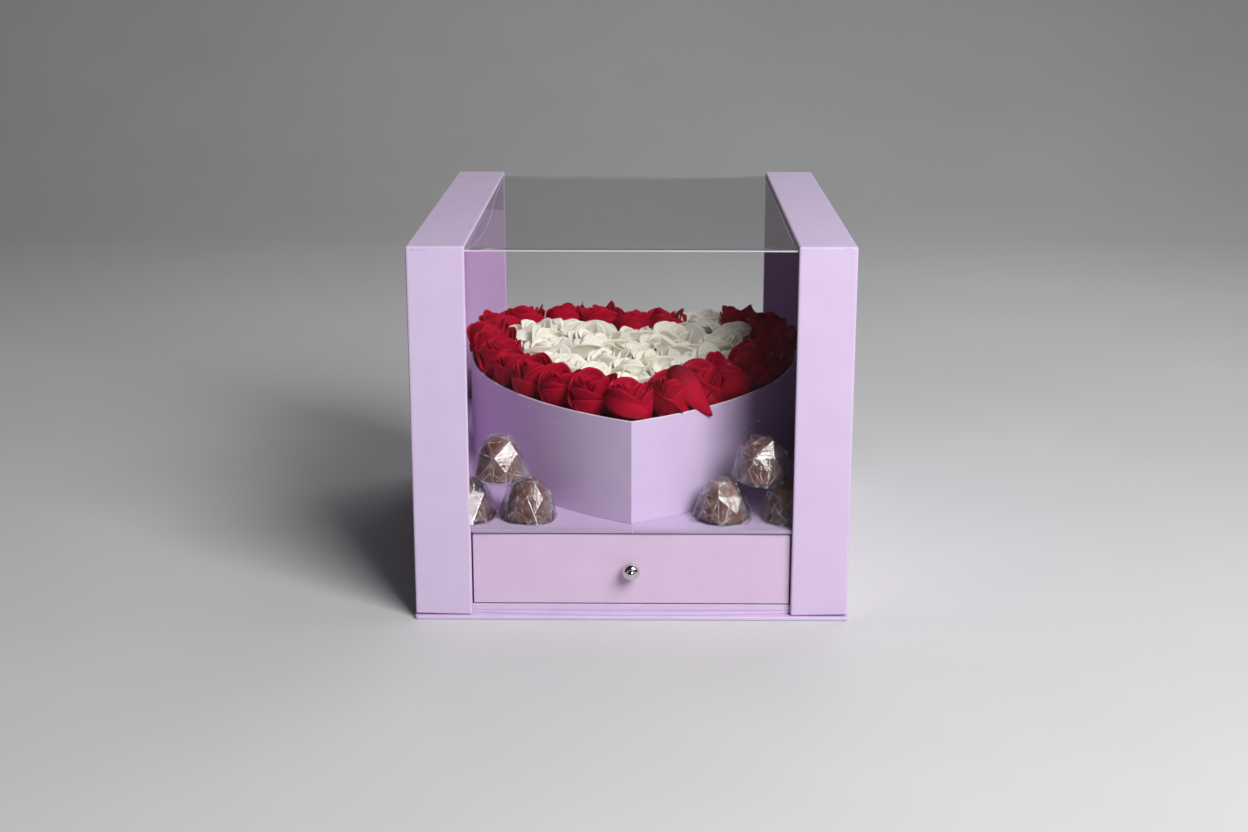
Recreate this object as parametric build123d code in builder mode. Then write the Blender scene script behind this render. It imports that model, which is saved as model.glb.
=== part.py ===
"""Flower box: a drawer base with a heart box of roses on its deck, under a lift-off window cover.

Frame: the origin is the centre of the base board's underside, +Z is up, the drawer faces -Y.
Sizes are in millimetres.
"""

import os
from math import acos, cos, degrees, pi, sin, sqrt

from build123d import *

# ---- driving dimensions -------------------------------------------------------------

board = 3.0  # greyboard of the cover and the housing
thin_board = 2.0  # greyboard of the drawer, the plinth and the heart box
clearance = 0.3  # least gap between pieces that move past each other

cover_width = 300.0
cover_depth = 369.0
cover_top = 263.0
strip_width = 39.0  # width of the paper-covered frame round each window
film = 0.5

base_margin = 1.0  # how far the base board stands out at each side of the cover
base_corner = 3.0
housing_recess = 5.0  # the drawer's face stands this far behind the cover's face
slip_sheet = 1.5
drawer_face_bottom = 10.3
drawer_face_top = 60.8
deck_bottom = 61.6
deck = 2.8
drawer_half_width = 110.0
drawer_length = 326.0
drawer_wall_top = 56.0
plinth_bow = 5.3  # how far the plinth's front edge swells at its middle

knob_height = 36.0
ball_radius = 6.1
ball_reach = 6.8  # from the drawer's face to the ball's centre
bead_radius = 3.4
bead_reach = 11.2
knob_bore = 6.5
screw_radius = 1.5
screw_head = 1.9
washer = 0.6

heart_apex_y = -167.9
heart_wide_y = 55.5  # where the heart is widest
heart_half_width = 129.5
lobe_radius = 72.0
heart_rim = 138.5
foam_top = 128.0
foam_gap = 0.5

red_radius = 15.2
white_radius = 14.2
ring_inset = 20.0  # from the heart's outside to the centres of the outer ring
ring_spacing = 31.0
red_slots = 24
white_slots = 18
core_rows = (1, 2, 3, 2)  # white roses inside the two rings, from the front
core_reach = 103.5  # from the heart's apex to the first of them
core_step = 32.4
core_row_step = 27.4
red_height = 36.0
white_height = 33.5
stem_radius = 1.8
stem_length = 42.0

chocolate_radius = 19.0
chocolate_height = 28.5
wrap = 0.3
wrap_gap = 0.3
lower_row_y = -151.5
upper_row_y = -148.5
lower_chocolates = (-115.5, -72.3, 64.0, 111.0)  # x of each
upper_chocolates = (-92.6, 91.0)
upper_row_lift = 30.4  # above the lower row
upper_tilt = 7.0  # degrees, leaning to the front

# ---- places worked out from them ----------------------------------------------------

half_width = cover_width / 2
half_depth = cover_depth / 2
inner_half = half_width - board
strip_edge = half_width - strip_width
cover_bottom = board + clearance
face_y = -half_depth + housing_recess
housing_half = inner_half - 0.5
housing_back = -face_y
floor_bottom = board + thin_board
floor_top = floor_bottom + board
slip_top = floor_top + slip_sheet
deck_top = deck_bottom + deck
drawer_floor_bottom = slip_top + clearance
drawer_box_front = face_y + board
drawer_box_back = face_y + drawer_length
film_face = half_depth - board

side_center_x = ((heart_wide_y - heart_apex_y) ** 2 - heart_half_width**2) / (2 * heart_half_width)
side_radius = side_center_x + heart_half_width
lobe_center_x = heart_half_width - lobe_radius
notch_y = heart_wide_y + sqrt(lobe_radius**2 - lobe_center_x**2)

os.makedirs("parts", exist_ok=True)


def save(piece, name):
    """Labels a finished piece and writes its file."""
    piece.part.label = name
    export_step(piece.part, f"parts/{name}.step")


def flat_board(name, x, y, z):
    """One rectangular board, given by its low and high limits along each axis."""
    with BuildPart() as piece:
        with BuildSketch(Plane.XY.offset(z[0])):
            with Locations(((x[0] + x[1]) / 2, (y[0] + y[1]) / 2)):
                Rectangle(x[1] - x[0], y[1] - y[0])
        extrude(amount=z[1] - z[0])
    save(piece, name)


def mirrored(x, side):
    """The limits x, for the right side (1) or swapped over to the left side (-1)."""
    return x if side > 0 else (-x[1], -x[0])


sides = (("left", -1), ("right", 1))

# ---- base: boards of the housing ----------------------------------------------------

with BuildPart() as base_board:
    with BuildSketch():
        RectangleRounded(cover_width + 2 * base_margin, cover_depth + 3 * base_margin, base_corner)
    extrude(amount=board)
save(base_board, "base_board")

# The plinth's front edge swells forward between the cover's two front strips.
with BuildPart() as plinth_board:
    with BuildSketch(Plane.XY.offset(board)):
        with BuildLine():
            bow_end = strip_edge - 1.5
            ThreePointArc((-bow_end, face_y), (0, face_y - plinth_bow), (bow_end, face_y))
            Polyline(
                (bow_end, face_y),
                (housing_half, face_y),
                (housing_half, housing_back),
                (-housing_half, housing_back),
                (-housing_half, face_y),
                (-bow_end, face_y),
            )
        make_face()
    extrude(amount=thin_board)
save(plinth_board, "plinth_board")

flat_board(
    "housing_floor", (-housing_half, housing_half), (face_y, housing_back), (floor_bottom, floor_top)
)
flat_board(
    "housing_back_wall",
    (-housing_half, housing_half),
    (housing_back - board, housing_back),
    (floor_top, deck_bottom),
)
for side_name, side in sides:
    flat_board(
        f"housing_{side_name}_wall",
        mirrored((housing_half - board, housing_half), side),
        (drawer_box_front, housing_back - board),
        (floor_top, deck_bottom),
    )
    flat_board(
        f"housing_{side_name}_cheek",
        mirrored((strip_edge, housing_half), side),
        (face_y, drawer_box_front),
        (floor_top, deck_bottom),
    )
    flat_board(
        f"drawer_guide_{side_name}",
        mirrored((strip_edge, strip_edge + board), side),
        (drawer_box_front, housing_back - board),
        (floor_top, deck_bottom),
    )
flat_board(
    "slip_sheet",
    (-strip_edge, strip_edge),
    (face_y, housing_back - board),
    (floor_top, slip_top),
)
flat_board(
    "deck_board", (-housing_half, housing_half), (face_y, housing_back), (deck_bottom, deck_top)
)

# ---- drawer -------------------------------------------------------------------------

knob_plane = Plane(origin=(0, face_y, knob_height), x_dir=(1, 0, 0), z_dir=(0, -1, 0))

with BuildPart() as drawer_front:
    with BuildSketch(Plane.XY.offset(drawer_face_bottom)):
        with Locations((0, face_y + board / 2)):
            Rectangle(2 * drawer_half_width, board)
    extrude(amount=drawer_face_top - drawer_face_bottom)
    with BuildSketch(knob_plane):
        Circle(screw_radius + 0.1)
    extrude(amount=-board, mode=Mode.SUBTRACT)
save(drawer_front, "drawer_front")

tray_half = drawer_half_width - 1
tray_floor_top = drawer_floor_bottom + thin_board
flat_board(
    "drawer_floor",
    (-tray_half, tray_half),
    (drawer_box_front, drawer_box_back),
    (drawer_floor_bottom, tray_floor_top),
)
for side_name, side in sides:
    flat_board(
        f"drawer_{side_name}_side",
        mirrored((tray_half - thin_board, tray_half), side),
        (drawer_box_front, drawer_box_back),
        (tray_floor_top, drawer_wall_top),
    )
flat_board(
    "drawer_back",
    (thin_board - tray_half, tray_half - thin_board),
    (drawer_box_back - thin_board, drawer_box_back),
    (tray_floor_top, drawer_wall_top),
)
flat_board(
    "drawer_liner",
    (thin_board - tray_half + 0.5, tray_half - thin_board - 0.5),
    (drawer_box_front + 0.5, drawer_box_back - thin_board - 0.5),
    (tray_floor_top, tray_floor_top + 0.5),
)

# A turned metal knob: a foot, a neck, a ball and a smaller bead in front. Its back is tapped.
with BuildPart() as drawer_knob:
    with BuildSketch(knob_plane):
        Circle(4.2)
    extrude(amount=1.4)
    with BuildSketch(knob_plane):
        Circle(2.6)
    extrude(amount=4.0)
    with Locations((0, face_y - ball_reach, knob_height)):
        Sphere(ball_radius)
    with Locations((0, face_y - bead_reach, knob_height)):
        Sphere(bead_radius)
    with BuildSketch(knob_plane):
        Circle(screw_radius + 0.05)
    extrude(amount=knob_bore, mode=Mode.SUBTRACT)
save(drawer_knob, "drawer_knob")

with BuildPart() as knob_washer:
    with BuildSketch(knob_plane.offset(-board)):
        Circle(4.6)
        Circle(screw_radius + 0.1, mode=Mode.SUBTRACT)
    extrude(amount=-washer)
save(knob_washer, "knob_washer")

with BuildPart() as knob_screw:
    with BuildSketch(knob_plane.offset(-board - washer)):
        Circle(screw_radius)
    extrude(amount=board + washer + knob_bore - 0.5)
    with BuildSketch(knob_plane.offset(-board - washer)):
        Circle(3.4)
    extrude(amount=-screw_head)
    fillet(knob_screw.edges().sort_by(Axis.Y)[-1], 0.8)
save(knob_screw, "knob_screw")

# ---- heart box ----------------------------------------------------------------------


def heart(inset):
    """The edges of the heart's outline, drawn in by inset all round."""
    side_r = side_radius - inset
    lobe_r = lobe_radius - inset
    side_turn = degrees(acos(side_center_x / side_r))
    lobe_turn = 180 - degrees(acos(lobe_center_x / lobe_r))
    with BuildLine() as outline:
        CenterArc((-side_center_x, heart_wide_y), side_r, -side_turn, side_turn)
        CenterArc((lobe_center_x, heart_wide_y), lobe_r, 0, lobe_turn)
        mirror(about=Plane.YZ)
    return outline.edges()


with BuildPart() as heart_box_wall:
    with BuildSketch(Plane.XY.offset(deck_top)):
        make_face(heart(0))
    extrude(amount=heart_rim - deck_top)
    with BuildSketch(Plane.XY.offset(deck_top)):
        make_face(heart(thin_board))
    extrude(amount=heart_rim - deck_top, mode=Mode.SUBTRACT)
save(heart_box_wall, "heart_box_wall")

with BuildPart() as heart_box_floor:
    with BuildSketch(Plane.XY.offset(deck_top)):
        make_face(heart(thin_board))
    extrude(amount=thin_board)
save(heart_box_floor, "heart_box_floor")

with BuildPart() as floral_foam:
    with BuildSketch(Plane.XY.offset(deck_top + thin_board)):
        make_face(heart(thin_board + foam_gap))
    extrude(amount=foam_top - deck_top - thin_board)
save(floral_foam, "floral_foam")

# ---- roses --------------------------------------------------------------------------


def ring_point(inset, travel):
    """A point on the heart's outline drawn in by inset, at a distance along it from the apex.

    The line runs up the long side, round the lobe and then round the notch's corner.
    """
    side_r = side_radius - inset
    lobe_r = lobe_radius - inset
    side_turn = acos(side_center_x / side_r)
    lobe_turn = pi - acos(lobe_center_x / lobe_radius)
    if travel < side_r * side_turn:
        angle = travel / side_r - side_turn
        return (side_r * cos(angle) - side_center_x, heart_wide_y + side_r * sin(angle))
    travel -= side_r * side_turn
    if travel < lobe_r * lobe_turn:
        angle = travel / lobe_r
        return (lobe_center_x + lobe_r * cos(angle), heart_wide_y + lobe_r * sin(angle))
    travel -= lobe_r * lobe_turn
    angle = lobe_turn - pi - travel / inset
    return (inset * cos(angle), notch_y + inset * sin(angle))


def ring_length(inset):
    """Half the length of the line that ring_point follows, from the apex to the notch."""
    side_r = side_radius - inset
    lobe_turn = pi - acos(lobe_center_x / lobe_radius)
    notch_turn = lobe_turn - pi / 2
    return (
        side_r * acos(side_center_x / side_r)
        + (lobe_radius - inset) * lobe_turn
        + inset * notch_turn
    )


def ring(inset, slots):
    """Evenly spaced places all round the heart, the first one at the apex."""
    step = 2 * ring_length(inset) / slots
    right = [ring_point(inset, step * index) for index in range(slots // 2 + 1)]
    left = [(-x, y) for x, y in right[1:-1]]
    return right + left[::-1]


red_places = ring(ring_inset, red_slots)
gap_place = red_places.pop(red_slots // 2 - 2)  # this slot of the ring holds a white rose
white_places = ring(ring_inset + ring_spacing, white_slots)
white_places.append(gap_place)
for row, count in enumerate(core_rows):
    for index in range(count):
        offset_x = (index - (count - 1) / 2) * core_step
        white_places.append((offset_x, heart_apex_y + core_reach + core_row_step * row))


def roses(name, places, radius, height):
    """One closed cup for each rose head, standing on the foam."""
    with BuildPart() as heads:
        for x, y in places:
            plane = Plane(origin=(x, y, foam_top), x_dir=(1, 0, 0), z_dir=(0, -1, 0))
            with BuildSketch(plane):
                with BuildLine():
                    Spline(
                        (radius * 0.5, 0),
                        (radius * 0.9, height * 0.22),
                        (radius, height * 0.5),
                        (radius * 0.95, height * 0.76),
                        (radius * 0.6, height * 0.95),
                        (0, height),
                    )
                    Polyline((0, height), (0, 0), (radius * 0.5, 0))
                make_face()
            revolve(axis=Axis((x, y, foam_top), (0, 0, 1)))
    save(heads, name)


def stems(name, places):
    """The cut stems that hold the heads, pushed into the foam."""
    with BuildPart() as cuttings:
        with BuildSketch(Plane.XY.offset(foam_top - stem_length)):
            with Locations(*places):
                Circle(stem_radius)
        extrude(amount=stem_length)
    save(cuttings, name)


roses("red_roses", red_places, red_radius, red_height)
roses("white_roses", white_places, white_radius, white_height)
stems("red_rose_stems", red_places)
stems("white_rose_stems", white_places)

# ---- chocolates ---------------------------------------------------------------------

wrapped_base = deck_top + wrap + wrap_gap
seats = [Plane(origin=(x, lower_row_y, wrapped_base), x_dir=(1, 0, 0)) for x in lower_chocolates]
for x in upper_chocolates:
    leaning = Plane(origin=(x, upper_row_y, wrapped_base + upper_row_lift), x_dir=(1, 0, 0))
    seats.append(leaning.rotated((upper_tilt, 0, 0)))


def dome(grow):
    """The edges of half a flat-based domed chocolate, grown by grow all round."""
    foot = chocolate_radius - 1.2 + grow
    waist = chocolate_radius + grow
    shoulder = waist - 0.8
    top = chocolate_height + grow
    with BuildLine() as outline:
        Polyline((0, top), (0, -grow), (foot, -grow), (waist, 5.0), (shoulder, 10.0))
        Spline(
            (shoulder, 10.0),
            (shoulder * 0.78, top * 0.78),
            (0, top),
            tangents=((-0.2, 1), (-1, 0)),
        )
    return outline.edges()


def domes(name, inner, outer):
    """One dome for each seat, solid, or hollow when inner is given."""
    with BuildPart() as group:
        for seat in seats:
            upright = Plane(origin=seat.origin, x_dir=seat.x_dir, z_dir=-seat.y_dir)
            with BuildSketch(upright):
                make_face(dome(outer))
                if inner is not None:
                    make_face(dome(inner), mode=Mode.SUBTRACT)
            revolve(axis=Axis(seat.origin, seat.z_dir))
    save(group, name)


domes("chocolates", None, 0)
domes("chocolate_wraps", wrap_gap, wrap_gap + wrap)

# ---- cover: two board frames joined by a folded window -------------------------------

for side_name, side in sides:
    flat_board(
        f"cover_{side_name}_panel",
        mirrored((inner_half, half_width), side),
        (-half_depth, half_depth),
        (cover_bottom, cover_top),
    )
    strip = mirrored((strip_edge, inner_half), side)
    flat_board(
        f"cover_{side_name}_front_strip",
        strip,
        (-half_depth, -half_depth + board),
        (cover_bottom, cover_top),
    )
    flat_board(
        f"cover_{side_name}_back_strip",
        strip,
        (half_depth - board, half_depth),
        (cover_bottom, cover_top),
    )
    flat_board(
        f"cover_{side_name}_top_strip",
        strip,
        (board - half_depth, half_depth - board),
        (cover_top - board, cover_top),
    )

film_half = inner_half - 1
film_top = cover_top - board
film_foot = deck_bottom + 0.4
flat_board(
    "window_front", (-film_half, film_half), (-film_face, film - film_face), (film_foot, film_top)
)
flat_board(
    "window_back", (-film_half, film_half), (film_face - film, film_face), (film_foot, film_top)
)
flat_board(
    "window_top",
    (-film_half, film_half),
    (film - film_face, film_face - film),
    (film_top - film, film_top),
)
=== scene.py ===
from math import atan2, cos, pi, radians, sin, sqrt
from random import Random

import bmesh
import bpy
from mathutils import Matrix, Vector, noise


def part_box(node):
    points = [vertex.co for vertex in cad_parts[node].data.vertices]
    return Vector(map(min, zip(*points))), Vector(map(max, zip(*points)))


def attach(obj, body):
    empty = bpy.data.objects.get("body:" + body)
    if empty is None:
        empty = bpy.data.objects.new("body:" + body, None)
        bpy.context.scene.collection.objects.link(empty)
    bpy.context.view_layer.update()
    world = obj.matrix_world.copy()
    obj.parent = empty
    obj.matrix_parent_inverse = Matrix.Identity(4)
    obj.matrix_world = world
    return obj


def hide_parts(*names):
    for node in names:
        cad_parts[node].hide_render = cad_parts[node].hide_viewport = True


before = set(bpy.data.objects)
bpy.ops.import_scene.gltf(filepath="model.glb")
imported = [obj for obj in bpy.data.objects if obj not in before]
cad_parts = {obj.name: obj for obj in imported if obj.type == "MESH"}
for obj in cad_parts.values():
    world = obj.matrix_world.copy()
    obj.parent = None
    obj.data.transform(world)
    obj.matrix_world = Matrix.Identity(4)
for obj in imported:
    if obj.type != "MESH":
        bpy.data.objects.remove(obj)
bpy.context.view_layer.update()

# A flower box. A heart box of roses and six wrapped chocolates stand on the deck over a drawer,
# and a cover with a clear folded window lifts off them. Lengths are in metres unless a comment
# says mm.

MM = 0.001
# Without this, noise_vector is seeded from the clock and the petals differ from run to run.
noise.seed_set(7)


# ---- materials ---------------------------------


def new_material(name):
    """An empty node material, with its nodes, links and Principled shader."""
    material = bpy.data.materials.new(name)
    material.use_nodes = True
    nodes = material.node_tree.nodes
    return material, nodes, material.node_tree.links, nodes["Principled BSDF"]


def noise_node(nodes, links, scale, detail=4.0, roughness=0.55, stretch=None):
    """A noise texture in the object's own metres, with an optional stretch of its axes."""
    place = nodes.new("ShaderNodeTexCoord").outputs["Object"]
    texture = nodes.new("ShaderNodeTexNoise")
    texture.inputs["Scale"].default_value = scale
    texture.inputs["Detail"].default_value = detail
    texture.inputs["Roughness"].default_value = roughness
    if stretch is not None:
        mapping = nodes.new("ShaderNodeMapping")
        mapping.inputs["Scale"].default_value = stretch
        links.new(place, mapping.inputs["Vector"])
        place = mapping.outputs["Vector"]
    links.new(place, texture.inputs["Vector"])
    return texture


def ramp_node(nodes, links, source, low, high, start=0.3, end=0.7):
    """Turns a factor into a colour between low and high."""
    ramp = nodes.new("ShaderNodeValToRGB")
    ramp.color_ramp.elements[0].position = start
    ramp.color_ramp.elements[1].position = end
    ramp.color_ramp.elements[0].color = (*low, 1)
    ramp.color_ramp.elements[1].color = (*high, 1)
    links.new(source, ramp.inputs["Fac"])
    return ramp


def range_node(nodes, links, source, low, high, start=0.0, end=1.0):
    """Maps a factor from start..end to low..high."""
    mapped = nodes.new("ShaderNodeMapRange")
    mapped.inputs["From Min"].default_value = start
    mapped.inputs["From Max"].default_value = end
    mapped.inputs["To Min"].default_value = low
    mapped.inputs["To Max"].default_value = high
    links.new(source, mapped.inputs["Value"])
    return mapped.outputs["Result"]


def bump_node(nodes, links, height, distance, strength=0.5, below=None):
    """A bump of the given depth in metres, on top of another bump if one is given."""
    bump = nodes.new("ShaderNodeBump")
    bump.inputs["Distance"].default_value = distance
    bump.inputs["Strength"].default_value = strength
    links.new(height, bump.inputs["Height"])
    if below is not None:
        links.new(below, bump.inputs["Normal"])
    return bump.outputs["Normal"]


def paper(name, colour, shade, roughness=0.42, coat=0.12, mottle=45.0):
    """Coated wrapping paper: faint clouds of colour, fine grain and a satin coat."""
    material, nodes, links, shader = new_material(name)
    clouds = noise_node(nodes, links, mottle, 5.0)
    tint = ramp_node(nodes, links, clouds.outputs["Fac"], shade, colour, 0.25, 0.7)
    links.new(tint.outputs["Color"], shader.inputs["Base Color"])
    grain = noise_node(nodes, links, 2600.0, 3.0)
    felt = noise_node(nodes, links, 420.0, 3.0)
    gloss = range_node(nodes, links, felt.outputs["Fac"], roughness - 0.05, roughness + 0.07)
    links.new(gloss, shader.inputs["Roughness"])
    low = bump_node(nodes, links, felt.outputs["Fac"], 0.0001, 0.03)
    top = bump_node(nodes, links, grain.outputs["Fac"], 0.00005, 0.07, low)
    links.new(top, shader.inputs["Normal"])
    shader.inputs["Coat Weight"].default_value = coat
    shader.inputs["Coat Roughness"].default_value = 0.35
    return material


def clear_sheet(name, face_on, dust, haze, patch, wrinkle=0.0, roughness=0.035):
    """Clear plastic: mirrors more at a glance, with dust specks and patches of whitish haze.

    haze is its least and most share, patch its texture scale, and wrinkle the depth of small
    ripples in metres. On the crease sheets the whitish haze is a painted highlight.
    """
    material, nodes, links, shader = new_material(name)
    nodes.remove(shader)
    output = nodes["Material Output"]
    through = nodes.new("ShaderNodeBsdfTransparent")
    through.inputs["Color"].default_value = (0.985, 0.985, 0.99, 1)
    mirror = nodes.new("ShaderNodeBsdfGlossy")
    mirror.inputs["Roughness"].default_value = roughness
    if wrinkle:
        ripples = noise_node(nodes, links, 240.0, 3.0)
        links.new(bump_node(nodes, links, ripples.outputs["Fac"], wrinkle), mirror.inputs["Normal"])
    facing = nodes.new("ShaderNodeLayerWeight")
    facing.inputs["Blend"].default_value = 0.5
    steep = nodes.new("ShaderNodeMath")
    steep.operation = "POWER"
    steep.inputs[1].default_value = 5.0
    links.new(facing.outputs["Facing"], steep.inputs[0])
    share = range_node(nodes, links, steep.outputs[0], face_on, 0.9)
    gloss = nodes.new("ShaderNodeMixShader")
    links.new(share, gloss.inputs["Fac"])
    links.new(through.outputs[0], gloss.inputs[1])
    links.new(mirror.outputs[0], gloss.inputs[2])
    specks = nodes.new("ShaderNodeTexVoronoi")
    specks.inputs["Scale"].default_value = 130.0
    place = nodes.new("ShaderNodeTexCoord")
    links.new(place.outputs["Object"], specks.inputs["Vector"])
    dots = range_node(nodes, links, specks.outputs["Distance"], dust, 0.0, 0.02, 0.06)
    smear = noise_node(nodes, links, patch, 5.0, 0.6)
    veil = range_node(nodes, links, smear.outputs["Fac"], *haze, 0.45, 0.75)
    both = nodes.new("ShaderNodeMath")
    both.operation = "ADD"
    both.use_clamp = True
    links.new(dots, both.inputs[0])
    links.new(veil, both.inputs[1])
    powder = nodes.new("ShaderNodeBsdfDiffuse")
    powder.inputs["Color"].default_value = (0.86, 0.85, 0.9, 1)
    mixed = nodes.new("ShaderNodeMixShader")
    links.new(both.outputs[0], mixed.inputs["Fac"])
    links.new(gloss.outputs[0], mixed.inputs[1])
    links.new(powder.outputs[0], mixed.inputs[2])
    links.new(mixed.outputs[0], output.inputs["Surface"])
    return material


def petal_material(name, painted_shade_colour, bright, stain, sheen, roughness, vein_depth, soft):
    """Petal tissue: darker low down as painted shade deep in the rose, stained in patches, veined,
    with a velvety sheen.
    """
    material, nodes, links, shader = new_material(name)
    lift = nodes.new("ShaderNodeAttribute")
    lift.attribute_name = "lift"
    # The petal is painted darker low down, as shade deep in the rose head.
    body = ramp_node(nodes, links, lift.outputs["Fac"], painted_shade_colour, bright, 0.05, 0.60)
    blotch = noise_node(nodes, links, 140.0, 4.0)
    tone = nodes.new("ShaderNodeMix")
    tone.data_type = "RGBA"
    tone.blend_type = "MULTIPLY"
    links.new(range_node(nodes, links, blotch.outputs["Fac"], 0.0, 0.55), tone.inputs["Factor"])
    links.new(body.outputs["Color"], tone.inputs["A"])
    tone.inputs["B"].default_value = (*stain, 1)
    links.new(tone.outputs["Result"], shader.inputs["Base Color"])
    veins = noise_node(nodes, links, 520.0, 3.0, 0.6, (1, 1, 0.12))
    fine = noise_node(nodes, links, 3000.0, 2.0)
    low = bump_node(nodes, links, veins.outputs["Fac"], vein_depth, 0.5)
    top = bump_node(nodes, links, fine.outputs["Fac"], 0.00005, 0.3, low)
    links.new(top, shader.inputs["Normal"])
    matt = range_node(nodes, links, fine.outputs["Fac"], roughness - 0.08, roughness + 0.08)
    links.new(matt, shader.inputs["Roughness"])
    shader.inputs["Sheen Weight"].default_value = sheen
    shader.inputs["Sheen Roughness"].default_value = 0.4
    shader.inputs["Sheen Tint"].default_value = (*bright, 1)
    shader.inputs["Specular IOR Level"].default_value = 0.06
    if soft:
        shader.inputs["Subsurface Weight"].default_value = soft
        shader.inputs["Subsurface Radius"].default_value = (1.0, 0.9, 0.65)
        shader.inputs["Subsurface Scale"].default_value = 0.005
    return material


def grainy(name, low, high, scale, roughness, depth, metallic=0.0, coat=0.0):
    """A plain grainy finish: two tones in patches, uneven gloss and a fine bump."""
    material, nodes, links, shader = new_material(name)
    patches = noise_node(nodes, links, scale, 6.0)
    tint = ramp_node(nodes, links, patches.outputs["Fac"], low, high)
    links.new(tint.outputs["Color"], shader.inputs["Base Color"])
    gloss = range_node(nodes, links, patches.outputs["Fac"], roughness * 0.8, roughness * 1.25)
    links.new(gloss, shader.inputs["Roughness"])
    fine = noise_node(nodes, links, scale * 7, 4.0)
    links.new(bump_node(nodes, links, fine.outputs["Fac"], depth), shader.inputs["Normal"])
    shader.inputs["Metallic"].default_value = metallic
    shader.inputs["Coat Weight"].default_value = coat
    return material


def foam_material():
    """Green floral foam: a crumb of small open cells, with painted shade in their hollows."""
    material, nodes, links, shader = new_material("floral_foam")
    place = nodes.new("ShaderNodeTexCoord")
    cells = nodes.new("ShaderNodeTexVoronoi")
    cells.inputs["Scale"].default_value = 900.0
    links.new(place.outputs["Object"], cells.inputs["Vector"])
    # The cells are painted darker at their middles, which the bump makes hollows: painted shade.
    tint = ramp_node(
        nodes, links, cells.outputs["Distance"], (0.012, 0.04, 0.016), (0.05, 0.16, 0.06), 0.1, 0.8
    )
    links.new(tint.outputs["Color"], shader.inputs["Base Color"])
    links.new(
        bump_node(nodes, links, cells.outputs["Distance"], 0.0008, 0.9), shader.inputs["Normal"]
    )
    shader.inputs["Roughness"].default_value = 0.95
    return material


# Each: name, colour, shade, roughness, coat, scale of the clouds.
lilac = paper("lilac_paper", (0.645, 0.515, 0.735), (0.61, 0.48, 0.70))
lilac_drawer = paper("lilac_drawer_paper", (0.65, 0.495, 0.68), (0.615, 0.46, 0.645))
# The inside paper is the lilac paper made deeper and more saturated, as painted shade from light
# bounced about inside the cover and drawer.
lilac_painted_shade_inside = paper("lilac_paper_painted_shade_inside", (0.60, 0.41, 0.65), (0.56, 0.38, 0.61), 0.5, 0.05)
liner = paper("liner_paper", (0.66, 0.56, 0.74), (0.60, 0.50, 0.69), 0.6, 0.0, 90.0)
# A darker lilac for the tucks of the left front strip: painted shade in their folds.
fold_painted_shade = paper("paper_fold_painted_shade", (0.50, 0.37, 0.60), (0.44, 0.32, 0.54), 0.5, 0.0, 160.0)
# A pale paper for the top of the heart box's rim: a painted highlight of the light on it.
rim_painted_highlight = paper("rim_painted_highlight", (0.86, 0.80, 0.90), (0.80, 0.73, 0.85), 0.6, 0.0, 300.0)

# Each: name, mirrored share face on, dust, haze, scale of the haze, ripple depth, roughness.
# On the two crease sheets the haze is a painted highlight along the creases.
window_film = clear_sheet("window_film", 0.004, 0.35, (0.0, 0.004), 16.0)
film_crease_painted_highlight = clear_sheet("film_crease_painted_highlight", 0.10, 0.0, (0.45, 0.9), 3.0)
cellophane = clear_sheet("cellophane", 0.06, 0.0, (0.0, 0.10), 110.0, 0.0005, 0.06)
cellophane_crease_painted_highlight = clear_sheet("cellophane_crease_painted_highlight", 0.20, 0.0, (0.10, 0.75), 150.0, 0.0, 0.12)

# Each: name, painted shade colour low down, own colour high up, stain, sheen, roughness, vein
# depth, softness.
red_petal = petal_material(
    "red_petal",
    (0.15, 0.0005, 0.008),
    (0.46, 0.002, 0.026),
    (0.60, 0.40, 0.50),
    0.15,
    0.62,
    0.00012,
    0,
)
white_petal = petal_material(
    "white_petal",
    (0.95, 0.91, 0.71),
    (0.99, 0.96, 0.81),
    (0.98, 0.97, 0.92),
    0.1,
    0.6,
    0.0002,
    0.4,
)

# Each: name, two tones, scale, roughness, bump depth, metallic, coat.
stem_green = grainy("cut_stem", (0.06, 0.13, 0.03), (0.13, 0.25, 0.06), 300.0, 0.6, 0.0001)
foam_green = foam_material()
milk_chocolate = grainy(
    "milk_chocolate", (0.125, 0.040, 0.027), (0.205, 0.072, 0.050), 150.0, 0.42, 0.0002, 0, 0.1
)
nickel = grainy(
    "polished_nickel", (0.66, 0.63, 0.60), (0.76, 0.74, 0.71), 400.0, 0.10, 0.00001, 1.0
)
zinc = grainy("zinc_steel", (0.50, 0.51, 0.54), (0.62, 0.62, 0.64), 500.0, 0.32, 0.00003, 1.0)


# ---- making pieces -----------------------------


def add_piece(name, mesh, material, body, nodes=()):
    """Puts a finished mesh into the scene, on its body, for its CAD nodes."""
    piece = bpy.data.objects.new(name, mesh)
    bpy.context.scene.collection.objects.link(piece)
    if mesh.materials:
        mesh.materials.clear()
    mesh.materials.append(material)
    for face in mesh.polygons:
        face.use_smooth = True
    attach(piece, body)
    if nodes:
        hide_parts(*nodes)
    return piece


def mesh_from(shape, name):
    """Turns a bmesh into a mesh with its normals outside."""
    bmesh.ops.recalc_face_normals(shape, faces=shape.faces)
    mesh = bpy.data.meshes.new(name)
    shape.to_mesh(mesh)
    shape.free()
    return mesh


def weighted(piece):
    """Keeps the flat faces flat beside their rounded edges."""
    modifier = piece.modifiers.new("flat_faces", "WEIGHTED_NORMAL")
    modifier.keep_sharp = True
    modifier.weight = 90


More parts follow.
